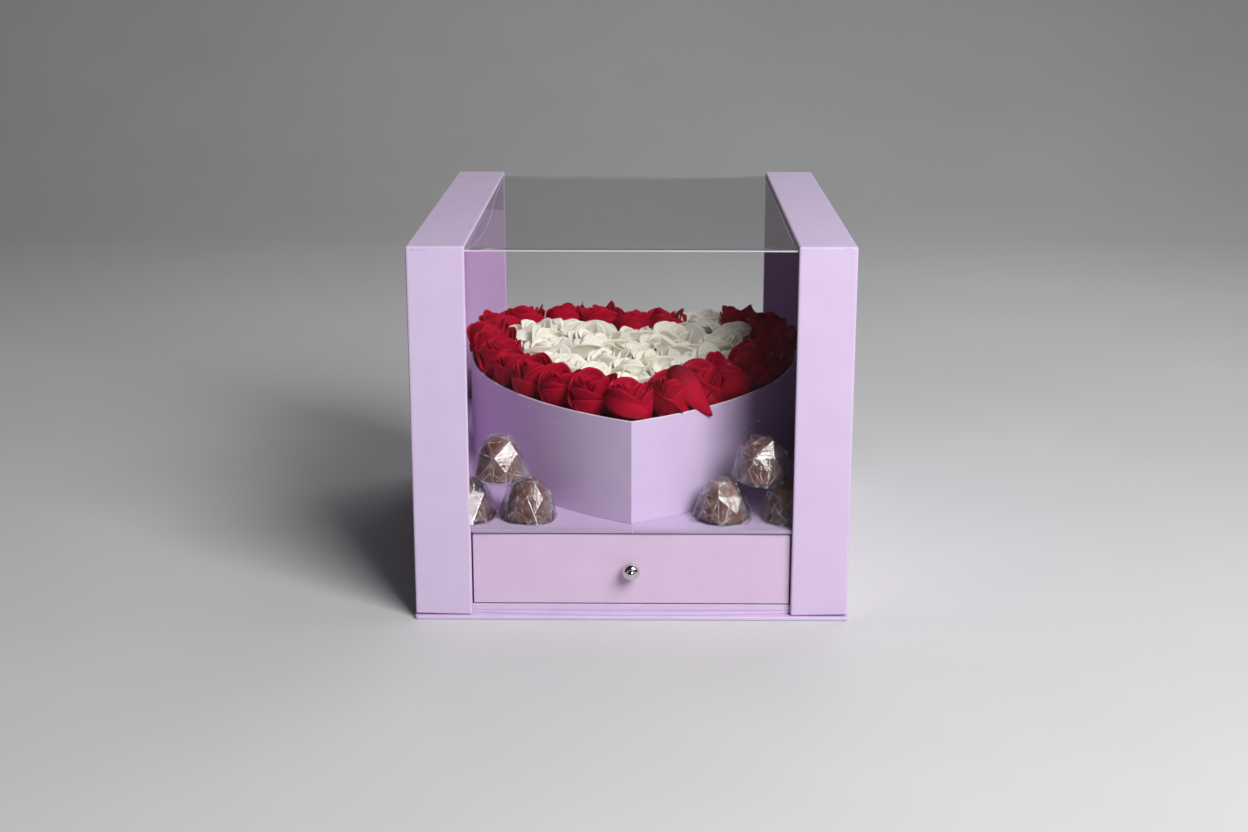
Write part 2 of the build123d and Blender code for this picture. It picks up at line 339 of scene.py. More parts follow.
def round_edges(shape, radius, segments=3, least=25.0):
    """Rounds every edge that turns by more than least degrees, and returns the new faces."""
    shape.normal_update()
    edges = [
        edge
        for edge in shape.edges
        if len(edge.link_faces) == 2 and edge.calc_face_angle(0) > radians(least)
    ]
    rounded = bmesh.ops.bevel(
        shape, geom=edges, offset=radius, segments=segments, profile=0.5, affect="EDGES"
    )
    return rounded["faces"]


def join_loops(shape, loops):
    """Joins each closed loop of vertices in a bmesh to the next one with a band of faces."""
    for first, second in zip(loops, loops[1:]):
        for index in range(len(first)):
            after = (index + 1) % len(first)
            shape.faces.new((first[index], first[after], second[after], second[index]))


def close_border(shape, outer, inner, rows, columns):
    """Joins the borders of two grids of vertices in a bmesh, all the way round."""
    border = [(0, i) for i in range(columns)] + [(j, columns) for j in range(rows)]
    border += [(rows, i) for i in range(columns, 0, -1)] + [(j, 0) for j in range(rows, 0, -1)]
    for index, (j, i) in enumerate(border):
        k, m = border[(index + 1) % len(border)]
        shape.faces.new((outer[k][m], outer[j][i], inner[j][i], inner[k][m]))


def slab_shape(outline, low, high, radius):
    """A bmesh of a flat board: its outline between two heights, with rounded edges."""
    shape = bmesh.new()
    bottom = [shape.verts.new((x, y, low)) for x, y in outline]
    top = [shape.verts.new((x, y, high)) for x, y in outline]
    shape.faces.new(bottom[::-1])
    shape.faces.new(top)
    join_loops(shape, [bottom, top])
    round_edges(shape, radius)
    return shape


def add_bead(shape, path, radius, steps=8):
    """Adds a round bead along a path to a bmesh, with its ends closed."""
    rings = []
    for index, point in enumerate(path):
        ahead = path[min(index + 1, len(path) - 1)] - path[max(index - 1, 0)]
        turned = ahead.to_track_quat("Z", "Y")
        ring = []
        for k in range(steps):
            angle = 2 * pi * k / steps
            offset = turned @ Vector((cos(angle), sin(angle), 0)) * radius
            ring.append(shape.verts.new(point + offset))
        rings.append(ring)
    join_loops(shape, rings)
    shape.faces.new(rings[0])
    shape.faces.new(rings[-1])


def rectangle(low, high):
    """The four corners of a node's box, seen from above."""
    return [(low.x, low.y), (high.x, low.y), (high.x, high.y), (low.x, high.y)]


def wrapped_board(node, body, material=lilac, radius=0.5 * MM):
    """A board of the CAD model, as card wrapped in paper with softly rounded edges."""
    low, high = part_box(node)
    shape = slab_shape(rectangle(low, high), low.z, high.z, radius)
    mesh = mesh_from(shape, node)
    weighted(add_piece(f"{node}_wrapped", mesh, material, body, (node,)))


def box_of(points):
    """The lowest and the highest corner of a box round some points."""
    low = Vector([min(point[axis] for point in points) for axis in range(3)])
    high = Vector([max(point[axis] for point in points) for axis in range(3)])
    return low, high


def islands(node):
    """(low, high) of each separate solid in a CAD node, from the front to the back."""
    shape = bmesh.new()
    shape.from_mesh(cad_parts[node].data)
    bmesh.ops.remove_doubles(shape, verts=shape.verts, dist=1e-6)
    seen, found = set(), []
    for start in shape.verts:
        if start in seen:
            continue
        seen.add(start)
        group, waiting = [], [start]
        while waiting:
            vertex = waiting.pop()
            group.append(vertex.co.copy())
            for edge in vertex.link_edges:
                other = edge.other_vert(vertex)
                if other not in seen:
                    seen.add(other)
                    waiting.append(other)
        found.append(box_of(group))
    shape.free()
    return sorted(found, key=lambda pair: (round(pair[0].y, 5), round(pair[0].x, 5)))


# ---- base board, plinth and housing ------------


def arc_points(center, radius, start, end, steps):
    """Points on an arc whose start and end are in degrees."""
    points = []
    for step in range(steps + 1):
        angle = radians(start + (end - start) * step / steps)
        points.append((center[0] + radius * cos(angle), center[1] + radius * sin(angle)))
    return points


def rounded_rectangle(low, high, radius):
    """A rectangle's outline with round corners, seen from above."""
    corners = (
        (high.x - radius, low.y + radius, -90),
        (high.x - radius, high.y - radius, 0),
        (low.x + radius, high.y - radius, 90),
        (low.x + radius, low.y + radius, 180),
    )
    points = []
    for x, y, start in corners:
        points += arc_points((x, y), radius, start, start + 90, 6)
    return points


def make_base_board():
    """The board under it all, with round corners."""
    low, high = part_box("base_board")
    corner, edge = 3 * MM, 1.0 * MM
    shape = slab_shape(rounded_rectangle(low, high, corner), low.z, high.z, edge)
    mesh = mesh_from(shape, "base")
    weighted(add_piece("base_board_wrapped", mesh, lilac, "base", ("base_board",)))


def make_plinth():
    """The board under the housing, whose front bows out between the cheeks."""
    low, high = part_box("plinth_board")
    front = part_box("housing_floor")[0].y
    gap, edge, steps = 1.5 * MM, 0.35 * MM, 24
    end = -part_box("housing_left_cheek")[1].x - gap
    bow = front - low.y
    outline = []
    for step in range(steps + 1):
        share = 2 * step / steps - 1
        outline.append((end * share, front - bow * (1 - share**2)))
    outline += [(high.x, front), (high.x, high.y), (low.x, high.y), (low.x, front)]
    mesh = mesh_from(slab_shape(outline, low.z, high.z, edge), "plinth")
    weighted(add_piece("plinth_wrapped", mesh, lilac, "base", ("plinth_board",)))


make_base_board()
make_plinth()
for node in (
    "housing_floor",
    "housing_back_wall",
    "housing_left_wall",
    "housing_right_wall",
    "housing_left_cheek",
    "housing_right_cheek",
    "drawer_guide_left",
    "drawer_guide_right",
    "deck_board",
):
    wrapped_board(node, "base")
wrapped_board("slip_sheet", "base", liner, 0.3 * MM)


# ---- drawer ------------------------------------

wrapped_board("drawer_front", "drawer", lilac_drawer, radius=0.7 * MM)
# The inside of the drawer gets the inside paper, with its painted shade.
for node in ("drawer_floor", "drawer_left_side", "drawer_right_side", "drawer_back"):
    wrapped_board(node, "drawer", lilac_painted_shade_inside, radius=0.35 * MM)
wrapped_board("drawer_liner", "drawer", liner, 0.1 * MM)


def lathe(name, node, profile, material, steps=64):
    """A turned piece of the drawer: a profile of (reach, radius) spun round its node's axis."""
    low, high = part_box(node)
    origin = Vector((0, high.y, (low.z + high.z) / 2))
    shape = bmesh.new()
    rings = []
    for reach, radius in profile:
        if radius < 1e-9:
            rings.append([shape.verts.new(origin + Vector((0, -reach, 0)))])
            continue
        ring = []
        for step in range(steps):
            angle = 2 * pi * step / steps
            point = Vector((radius * cos(angle), -reach, radius * sin(angle)))
            ring.append(shape.verts.new(origin + point))
        rings.append(ring)
    for first, second in zip(rings, rings[1:]):
        for step in range(steps):
            after = (step + 1) % steps
            if len(first) == 1:
                shape.faces.new((first[0], second[step], second[after]))
            elif len(second) == 1:
                shape.faces.new((first[step], first[after], second[0]))
            else:
                shape.faces.new((first[step], first[after], second[after], second[step]))
    add_piece(name, mesh_from(shape, name), material, "drawer", (node,))


def knob_profile():
    """(reach, radius) along the knob: its foot and neck, then the arcs of its ball and bead."""
    profile = [(0, 0), (0, 4.0), (0.3, 4.25), (1.0, 4.25), (1.35, 3.9), (1.5, 3.2), (1.8, 2.8)]
    profile += arc_points((6.8, 0), 6.1, 158, 46, 24)
    profile += arc_points((11.2, 0), 3.4, 88, 0, 14)
    return [(reach * MM, radius * MM) for reach, radius in profile]


def make_knob():
    """The knob on the front of the drawer, with its washer and its screw inside."""
    lathe("turned_knob", "drawer_knob", knob_profile(), nickel)
    low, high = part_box("knob_washer")
    inner, outer, thick, rim = 1.7 * MM, high.x, high.y - low.y, 0.12 * MM
    ring = [(0, inner), (0, outer - rim), (rim, outer), (thick - rim, outer), (thick, outer - rim)]
    ring += [(thick, inner), (0, inner)]
    lathe("washer_turned", "knob_washer", ring, zinc)
    low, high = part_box("knob_screw")
    head, shank, radius, length = 1.9 * MM, 1.5 * MM, high.x, high.y - low.y
    pan = [(0, 0), (0, radius * 0.7), (0.25 * MM, radius * 0.9), (0.8 * MM, radius)]
    pan += [(head, radius), (head, shank), (length, shank), (length, 0)]
    lathe("screw_turned", "knob_screw", pan, zinc)


make_knob()


# ---- heart box ---------------------------------


LOBE_RADIUS = 72.0 * MM
HEART_WALL = 2.0 * MM


def heart_outline(inset, side_steps=36, lobe_steps=40):
    """The heart's outline from above, drawn in by inset: two long arcs and two lobes."""
    low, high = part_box("heart_box_wall")
    half = high.x
    wide_y = high.y - LOBE_RADIUS
    reach = wide_y - low.y
    side_x = (reach**2 - half**2) / (2 * half)
    side_r = side_x + half - inset
    lobe_r = LOBE_RADIUS - inset
    lobe_x = half - LOBE_RADIUS
    apex = -atan2(sqrt(side_r**2 - side_x**2), side_x)
    end = pi - atan2(sqrt(lobe_r**2 - lobe_x**2), lobe_x)
    right = []
    for k in range(side_steps):
        angle = apex * (1 - k / side_steps)
        right.append((side_r * cos(angle) - side_x, wide_y + side_r * sin(angle)))
    for k in range(lobe_steps + 1):
        angle = end * k / lobe_steps
        right.append((lobe_x + lobe_r * cos(angle), wide_y + lobe_r * sin(angle)))
    right[0] = (0.0, right[0][1])
    right[-1] = (0.0, right[-1][1])
    return right + [(-x, y) for x, y in right[-2:0:-1]]


def make_heart_box():
    """The heart box: its wrapped wall with a pale rim painted as a highlight, its floor, and the
    foam in it.
    """
    low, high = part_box("heart_box_wall")
    rim, foot, highlight_depth = 0.9 * MM, 0.3 * MM, 0.35 * MM
    rim_low = high.z - rim
    # (inset, height) round the wall's section: up the outside, over the rim, down the inside.
    section = [(0, low.z + foot), (0, rim_low)]
    turns = [radians(angle) for angle in (22, 45, 68, 90)]
    section += [(rim - rim * cos(turn), rim_low + rim * sin(turn)) for turn in turns]
    section += [(HEART_WALL - rim + rim * sin(turn), rim_low + rim * cos(turn)) for turn in turns]
    section += [(HEART_WALL, low.z + foot), (HEART_WALL - foot, low.z), (foot, low.z)]
    shape = bmesh.new()
    loops = [
        [shape.verts.new((x, y, height)) for x, y in heart_outline(inset)]
        for inset, height in section
    ]
    join_loops(shape, loops + loops[:1])
    # The wall is smooth round its curves and sharp at the heart's point and notch.
    shape.normal_update()
    for edge in shape.edges:
        edge.smooth = edge.calc_face_angle(0) < radians(32)
    mesh = mesh_from(shape, "heart")
    piece = add_piece("heart_box_wrapped", mesh, lilac, "base", ("heart_box_wall",))
    # The faces at the top of the rim are painted pale as a highlight.
    mesh.materials.append(rim_painted_highlight)
    for face in mesh.polygons:
        face.material_index = int(face.center.z > high.z - highlight_depth)
    weighted(piece)
    for node, inset, material, slot, radius in (
        ("heart_box_floor", HEART_WALL, lilac, "lilac_paper", 0.2 * MM),
        ("floral_foam", 2.5 * MM, foam_green, "green_foam", 1.2 * MM),
    ):
        low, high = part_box(node)
        shape = slab_shape(heart_outline(inset), low.z, high.z, radius)
        add_piece(f"{node}_cut", mesh_from(shape, node), material, "base", (node,))


make_heart_box()


# ---- roses -------------------------------------


def add_sheet(shape, lift, front, back, rows, columns):
    """Joins two grids of points into one thin closed sheet in a bmesh.

    lift is the layer that tells the material how far up the petal a vertex is, from 0 to 1; the
    material paints shade low down with it.
    """
    made = []
    for points in (front, back):
        grid = []
        for j, line in enumerate(points):
            row = [shape.verts.new(point) for point in line]
            for vertex in row:
                vertex[lift] = j / rows
            grid.append(row)
        made.append(grid)
    outer, inner = made
    for j in range(rows):
        for i in range(columns):
            shape.faces.new((outer[j][i], outer[j][i + 1], outer[j + 1][i + 1], outer[j + 1][i]))
            shape.faces.new((inner[j][i + 1], inner[j][i], inner[j + 1][i], inner[j + 1][i + 1]))
    close_border(shape, outer, inner, rows, columns)


def petal(shape, lift, place, form, draw):
    """Adds one petal to a bmesh as a curved sheet that thins towards its top.

    form holds its lengths in mm and its angles in radians. The sheet runs across with s from
    -1 to 1 and up with t from 0 to 1. Each place in it has an angle, a radius r and a height z.
    """
    columns, rows = form["grid"]
    phase, cycles = draw.uniform(0, 2 * pi), form["cycles"]
    seed = Vector((form["turn"] * 3, phase, 0))
    front, back = [], []
    for j in range(rows + 1):
        t = j / rows
        width = form["half"] * sin(pi * (0.13 + 0.50 * t)) ** 0.8
        opened = max(0.0, (t - 0.5) / 0.5)
        line, under = [], []
        for i in range(columns + 1):
            s = 2 * i / columns - 1
            side = abs(s)
            # The height: lower at the sides, with a tip, curled down and waved near the top.
            top = form["height"] * (1 - form["round"] * side**2.6) + form["tip"] * (1 - side) ** 2
            z = t * top - form["curl"] * opened**3 * (0.6 + 0.4 * side)
            z += 0.6 * form["wave"] * t**3 * sin(cycles * 1.3 * s * pi + 2 * phase)
            # The radius: out from the foot, then flared, spiralled, waved and rolled.
            r = form["foot"] + (form["radius"] - form["foot"]) * sin(min(t / 0.6, 1) * pi / 2)
            r += form["flare"] * opened**1.8 * (0.75 + 0.35 * side) + form["spiral"] * s
            r += form["wave"] * t**2 * sin(cycles * s * pi + phase) + form["roll"] * side**4 * t
            angle = form["turn"] + s * width
            point = Vector((r * cos(angle), r * sin(angle), z))
            point += form["crumple"] * t * noise.noise_vector(point * 0.13 + seed)
            thick = form["thick"] * (1 - 0.45 * t)
            inward = Vector((-cos(angle), -sin(angle), 0.25 * opened)) * thick
            line.append(place @ (point * MM))
            under.append(place @ ((point + inward) * MM))
        front.append(line)
        back.append(under)
    add_sheet(shape, lift, front, back, rows, columns)


# Each layer: how many petals, then radius, height, half-width angle, flare and curl of each.
RED_LAYERS = (
    (1, 2.3, 30.5, 2.9, 0.0, 0.0),
    (2, 4.1, 32.0, 1.9, 0.4, 0.0),
    (3, 6.3, 33.5, 1.35, 1.0, 0.2),
    (3, 9.2, 34.5, 1.30, 2.0, 0.8),
    (3, 12.2, 34.0, 1.40, 3.0, 1.6),
    (3, 14.4, 32.0, 1.50, 2.8, 1.8),
    (3, 15.2, 25.0, 1.55, 1.0, 0.4),
)
WHITE_LAYERS = (
    (2, 2.6, 28.0, 2.0, 0.6, 0.0),
    (3, 5.2, 30.0, 1.5, 2.0, 0.5),
    (3, 8.6, 31.0, 1.45, 4.0, 1.6),
    (3, 11.8, 30.5, 1.45, 6.4, 3.2),
    (4, 14.0, 26.5, 1.25, 8.4, 4.6),
)


def red_form(level, draw):
    """The shape of a red petal: smooth and full, crisp at its edge, sometimes pointed."""
    return {
        "grid": (16, 12),
        "tip": draw.uniform(0.0, 2.5) if level > 2 else 0.5,
        "round": 0.14 if level < 3 else 0.45,
        "spiral": 0.5,
        "wave": 0.10 + 0.07 * level,
        "cycles": draw.uniform(0.4, 0.9),
        "roll": 0.8 * (2 < level < 6),
        "crumple": 0.35,
        "thick": 0.5,
    }


def white_form(level, draw):
    """The shape of a white petal: thick and softly ruffled."""
    return {
        "grid": (16, 12),
        "tip": draw.uniform(0.0, 2.0),
        "round": 0.36,
        "spiral": 0.6,
        "wave": draw.uniform(0.4, 1.0) * (0.5 + level * 0.20),
        "cycles": draw.uniform(0.7, 1.5),
        "roll": 1.0 * (level > 1),
        "crumple": 1.1,
        "thick": 1.0,
    }


def rose_head(name, place, kind, draw):
    """One rose: petals in a spiral from a tight bud to the open outer ones."""
    if kind == "red":
        layers, form_of, material = RED_LAYERS, red_form, red_petal
    else:
        layers, form_of, material = WHITE_LAYERS, white_form, white_petal
    shape = bmesh.new()
    lift = shape.verts.layers.float.new("lift")
    turn = draw.uniform(0, 2 * pi)
    for level, (count, radius, height, half, flare, curl) in enumerate(layers):
        for index in range(count):
            turn += 2 * pi / count + (0.35 if index == 0 else 0) + draw.uniform(-0.15, 0.15)
            form = form_of(level, draw) | {
                "foot": radius * 0.5 + 0.8,
                "radius": radius * draw.uniform(0.95, 1.04),
                "height": height * draw.uniform(0.93, 1.05),
                "half": half * draw.uniform(0.92, 1.1),
                "flare": flare * draw.uniform(0.5, 1.4),
                "curl": curl * draw.uniform(0.4, 1.6),
                "turn": turn,
            }
            petal(shape, lift, place, form, draw)
    nodes = (f"{kind}_roses",) if name.endswith("_01") else ()
    add_piece(name, mesh_from(shape, name), material, "base", nodes)


# The stems leave a gap in the middle of each lobe. The white roses near it lean over it.
GAP_X, GAP_Y = 46 * MM, 26 * MM
GAP_REACH = 40 * MM
GAP_SHIFT = 5 * MM
GAP_LEAN = 13  # degrees
GAP_SWELL = 0.16
WHITE_SWELL = 0.06
WHITE_DROP = 0.05


def make_roses():
    """A rose on each stem: the red ones lean outwards, the white ones in or out."""
    draw = Random(7)
    foam_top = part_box("floral_foam")[1].z
    middle_y = 5 * MM
    for kind, lean in (("red", (2, 15)), ("white", (-8, 10))):
        white = kind == "white"
        for number, (low, high) in enumerate(islands(f"{kind}_rose_stems"), 1):
            spot = Vector(((low.x + high.x) / 2, (low.y + high.y) / 2, foam_top))
            outward = Vector((spot.x, spot.y - middle_y, 0)).normalized()
            angle = draw.uniform(*lean)
            swell = WHITE_SWELL if white else 0.0
            gap_x = GAP_X if spot.x > 0 else -GAP_X
            gap = Vector((gap_x - spot.x, GAP_Y - spot.y, 0))
            if white and gap.length < GAP_REACH:
                outward, angle, swell = gap.normalized(), angle + GAP_LEAN, GAP_SWELL
                spot += outward * GAP_SHIFT
            axis = Vector((0, 0, 1)).cross(outward)
            tilt = Matrix.Rotation(radians(angle), 4, axis)
            scale = draw.uniform(0.97, 1.06)
            rise = scale - (WHITE_DROP if white else 0.0)
            size = Matrix.Diagonal((scale + swell, scale + swell, rise, 1))
            spin = Matrix.Rotation(draw.uniform(0, 2 * pi), 4, "Z")
            place = Matrix.Translation(spot) @ tilt @ spin @ size
            rose_head(f"{kind}_rose_{number:02d}", place, kind, draw)


def make_loose_petal(name, start, middle, end, width, cup=3.0 * MM):
    """A long outer petal that hangs from start over middle to its round tip at end.

    The three places are in mm, with their heights from the rim of the heart box.
    """
    rim = Vector((0, 0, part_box("heart_box_wall")[1].z))
    start, middle, end = (rim + Vector(place) * MM for place in (start, middle, end))
    shape = bmesh.new()
    lift = shape.verts.layers.float.new("lift")
    rows, columns, thick = 22, 10, 0.5 * MM
    front, back = [], []
    for j in range(rows + 1):
        t = j / rows
        center = start.lerp(middle, t).lerp(middle.lerp(end, t), t)
        along = (start.lerp(middle, t) - middle.lerp(end, t)).normalized()
        across = along.cross(Vector((0.2, -1, 0.35))).normalized()
        outward = across.cross(along).normalized()
        if outward.y > 0:
            outward = -outward
        half = width / 2 * sin(pi * (0.20 + 0.76 * t)) ** 0.65
        line, under = [], []
        for i in range(columns + 1):
            s = 2 * i / columns - 1
            point = center + across * half * s - outward * cup * s * s
            line.append(point)
            under.append(point - outward * thick)
        front.append(line)
        back.append(under)
    add_sheet(shape, lift, front, back, rows, columns)
    add_piece(name, mesh_from(shape, name), red_petal, "base")


make_roses()
make_loose_petal("loose_petal_right", (31, -124, 30), (38, -151, 21), (57, -128, -6), 18 * MM)
make_loose_petal("loose_petal_front", (-17, -152, 16), (-6, -166, 12), (11, -166, 5), 17 * MM)
for node in ("red_rose_stems", "white_rose_stems"):
    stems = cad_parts[node]
    stems.data.materials.clear()
    stems.data.materials.append(stem_green)


# ---- chocolates --------------------------------


CHOCOLATE_RADIUS = 17.0 * MM
CHOCOLATE_HEIGHT = 28.0 * MM
UPPER_TILT = 7  # degrees, of a chocolate that rests on two others
UPPER_LIFT = 2.2 * MM


def chocolate_reach(share):
    """The radius of a moulded chocolate at a share of its height: tapered, with a round top."""
    taper = 1 - 0.33 * share - 0.19 * share**4
    return CHOCOLATE_RADIUS * taper * sqrt(max(0.0, 1 - share**12))


def make_chocolates():
    """A chocolate and its wrap for each solid of the CAD model."""
    draw = Random(21)
    deck_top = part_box("deck_board")[1].z
    for number, (low, high) in enumerate(islands("chocolates"), 1):
        upper = low.z > deck_top + CHOCOLATE_HEIGHT / 2
        center = (low + high) / 2
        tilt = Matrix.Rotation(radians(UPPER_TILT if upper else 0), 4, "X")
        base = Vector((center.x, center.y, low.z + (UPPER_LIFT if upper else 0)))
        spin = Matrix.Rotation(draw.uniform(0, 2 * pi), 4, "Z")
        place = Matrix.Translation(base) @ tilt @ spin
        make_chocolate(f"chocolate_{number}", place, number == 1)
        make_wrap(f"chocolate_wrap_{number}", place, draw, number == 1)


def make_chocolate(name, place, first):
    """A moulded dome, with a ridge that winds round its top like a swirl of cream."""
    shape = bmesh.new()
    rings, steps, groove, collar = 34, 56, 1.1 * MM, 0.6 * MM
    loops = []
    for j in range(rings):
        share = j / rings
        line = []
        for i in range(steps):
            angle = 2 * pi * i / steps
            winding = 0.2 + 0.8 * abs(sin(angle / 2 + 8 * share))
            ridge = min(1, max(0, (share - 0.5) * 4)) * winding
            reach = chocolate_reach(share) - groove * ridge + collar * (share > 0.5) * share
            point = Vector((reach * cos(angle), reach * sin(angle), CHOCOLATE_HEIGHT * share))
            line.append(shape.verts.new(place @ point))
        loops.append(line)
    top = shape.verts.new(place @ Vector((0, 0, CHOCOLATE_HEIGHT)))
    join_loops(shape, loops)
    for i in range(steps):
        shape.faces.new((loops[-1][i], loops[-1][(i + 1) % steps], top))
    shape.faces.new(loops[0][::-1])
    nodes = ("chocolates",) if first else ()
    add_piece(name, mesh_from(shape, name), milk_chocolate, "base", nodes)


# The corners of a folded wrap: share of the height, how many, reach in chocolate radii.
WRAP_RINGS = ((0.0, 9, 1.22), (0.32, 7, 1.14), (0.68, 6, 0.94), (0.97, 4, 0.54), (1.05, 2, 0.12))


def folded_film(place, draw, size):
    """One layer of stiff film round a chocolate: flat facets with sharp creases."""
    shape = bmesh.new()
    for share, count, reach in WRAP_RINGS:
        start = draw.uniform(0, 2 * pi)
        for k in range(count):
            angle = start + 2 * pi * k / count + draw.uniform(-0.22, 0.22)
            radius = CHOCOLATE_RADIUS * (reach + draw.uniform(-0.02, 0.05)) * size
            if share == 0 and k % 3 == 0:
                radius *= 1.14
            rise = CHOCOLATE_HEIGHT * size * (share + draw.uniform(-0.05, 0.05) * (0 < share < 1))
            foot = 0.2 * MM * (share == 0)
            shape.verts.new((radius * cos(angle), radius * sin(angle), rise - foot))
    hull = bmesh.ops.convex_hull(shape, input=shape.verts)
    spare = [part for part in hull["geom_interior"] if isinstance(part, bmesh.types.BMVert)]
    bmesh.ops.delete(shape, geom=spare, context="VERTS")
    bmesh.ops.recalc_face_normals(shape, faces=shape.faces)
    # The rounded creases get the crease film, whose whitish haze is a painted highlight.
    for face in round_edges(shape, 0.22 * MM, 2, 2.0):
        face.material_index = 1
    shape.transform(place)
    mesh = bpy.data.meshes.new("film")
    shape.to_mesh(mesh)
    shape.free()
    return mesh


def make_wrap(name, place, draw, first):
    """The folded film round a chocolate, in two layers that cross."""
    shape = bmesh.new()
    for size in (1.0, 0.965):
        shape.from_mesh(folded_film(place, draw, size))
    nodes = ("chocolate_wraps",) if first else ()
    piece = add_piece(name, mesh_from(shape, name), cellophane, "base", nodes)
    piece.data.materials.append(cellophane_crease_painted_highlight)
    weighted(piece)


make_chocolates()


# ---- cover -------------------------------------


def box_shape(low, high):
    """A bmesh box between two corners."""
    shape = bmesh.new()
    bmesh.ops.create_cube(shape, size=1.0)
    for vertex in shape.verts:
        for axis in range(3):
            vertex.co[axis] = high[axis] if vertex.co[axis] > 0 else low[axis]
    return shape


def cut_from(solid, tool):
    """The mesh of solid with tool cut out of it."""
    objects = []
    for shape in (solid, tool):
        mesh = mesh_from(shape, "cut")
        thing = bpy.data.objects.new("cut", mesh)
        bpy.context.scene.collection.objects.link(thing)
        objects.append(thing)
    modifier = objects[0].modifiers.new("cut", "BOOLEAN")
    modifier.operation = "DIFFERENCE"
    modifier.solver = "EXACT"
    modifier.object = objects[1]
    bpy.context.view_layer.update()
    graph = bpy.context.evaluated_depsgraph_get()
    result = bpy.data.meshes.new_from_object(objects[0].evaluated_get(graph))
    for thing in objects:
        bpy.data.objects.remove(thing)
    return result


def is_between(point, low, high, margin=0.01 * MM):
    """Whether a point is in the box between two corners, or within a margin of it."""
    return all(low[axis] - margin < point[axis] < high[axis] + margin for axis in range(3))


def make_cover_side(name, side):
    """One side of the cover: a shallow board tray on edge, open inward and downward."""
    names = [f"cover_{name}_{part}" for part in ("panel", "front_strip", "top_strip", "back_strip")]
    boxes = [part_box(node) for node in names]
    low, high = box_of([corner for pair in boxes for corner in pair])
    board = boxes[0][1].x - boxes[0][0].x
    # The hollow of the tray runs well past its two open sides.
    past = 1.0
    inside_low = Vector((low.x - past, low.y + board, low.z - past))
    inside_high = Vector((high.x + past, high.y - board, high.z - board))
    if side < 0:
        inside_low.x = low.x + board
    else:
        inside_high.x = high.x - board
    shape = bmesh.new()
    shape.from_mesh(cut_from(box_shape(low, high), box_shape(inside_low, inside_high)))
    round_edges(shape, 1.25 * MM, 5)
    # The foot of the board rises a little towards the outer corner.
    foot, foot_rise = 2 * MM, 0.8 * MM
    inner_x = high.x if side < 0 else low.x
    for vertex in shape.verts:
        if vertex.co.z < low.z + foot:
            vertex.co.z += foot_rise * abs(vertex.co.x - inner_x) / (high.x - low.x)
    mesh = mesh_from(shape, name)
    piece = add_piece(f"cover_{name}_frame", mesh, lilac, "cover", names)
    # The faces inside the tray get the inside paper, with its painted shade.
    mesh.materials.append(lilac_painted_shade_inside)
    for face in mesh.polygons:
        face.material_index = int(is_between(face.center, inside_low, inside_high))
    weighted(piece)
    make_outer_sheets(name, side, low, high)


def make_outer_sheets(name, side, low, high):
    """The outer paper of one side of the cover, laid on it a little short of its edges."""
    inset, foot, thick = 1.4 * MM, 4 * MM, 0.10 * MM
    left, front, bottom = low.x + inset, low.y + inset, low.z + foot
    right, back, top = high.x - inset, high.y - inset, high.z - inset
    outer_x = low.x if side < 0 else high.x
    near_x, far_x = sorted((outer_x, outer_x + side * thick))
    for face, start, end in (
        ("front", (left, low.y - thick, bottom), (right, low.y, top)),
        ("top", (left, front, high.z), (right, back, high.z + thick)),
        ("back", (left, high.y, bottom), (right, high.y + thick, top)),
        ("side", (near_x, front, bottom), (far_x, back, top)),
    ):
        shape = box_shape(start, end)
        round_edges(shape, 0.045 * MM, 2)
        mesh = mesh_from(shape, face)
        weighted(add_piece(f"cover_{name}_{face}_paper", mesh, lilac, "cover"))


def folded_path(bend, turns=(15, 30, 45, 60, 75), up=14, over=24):
    """(y, z, angle) along the window: up the front, over the top and down the back."""
    front_low, front_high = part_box("window_front")
    back_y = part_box("window_back")[1].y
    foot, top = front_low.z, front_high.z
    rise = top - bend - foot
    start, end = front_low.y + bend, back_y - bend
    path = [(front_low.y, foot + rise * k / up, 0) for k in range(up + 1)]
    path += [
        (start - bend * cos(radians(turn)), top - bend + bend * sin(radians(turn)), turn)
        for turn in turns
    ]
    path += [(start + (end - start) * k / over, top, 90) for k in range(over + 1)]
    path += [
        (end + bend * sin(radians(turn)), top - bend + bend * cos(radians(turn)), 90 + turn)
        for turn in turns
    ]
    path += [(back_y, top - bend - rise * k / up, 180) for k in range(up + 1)]
    return path


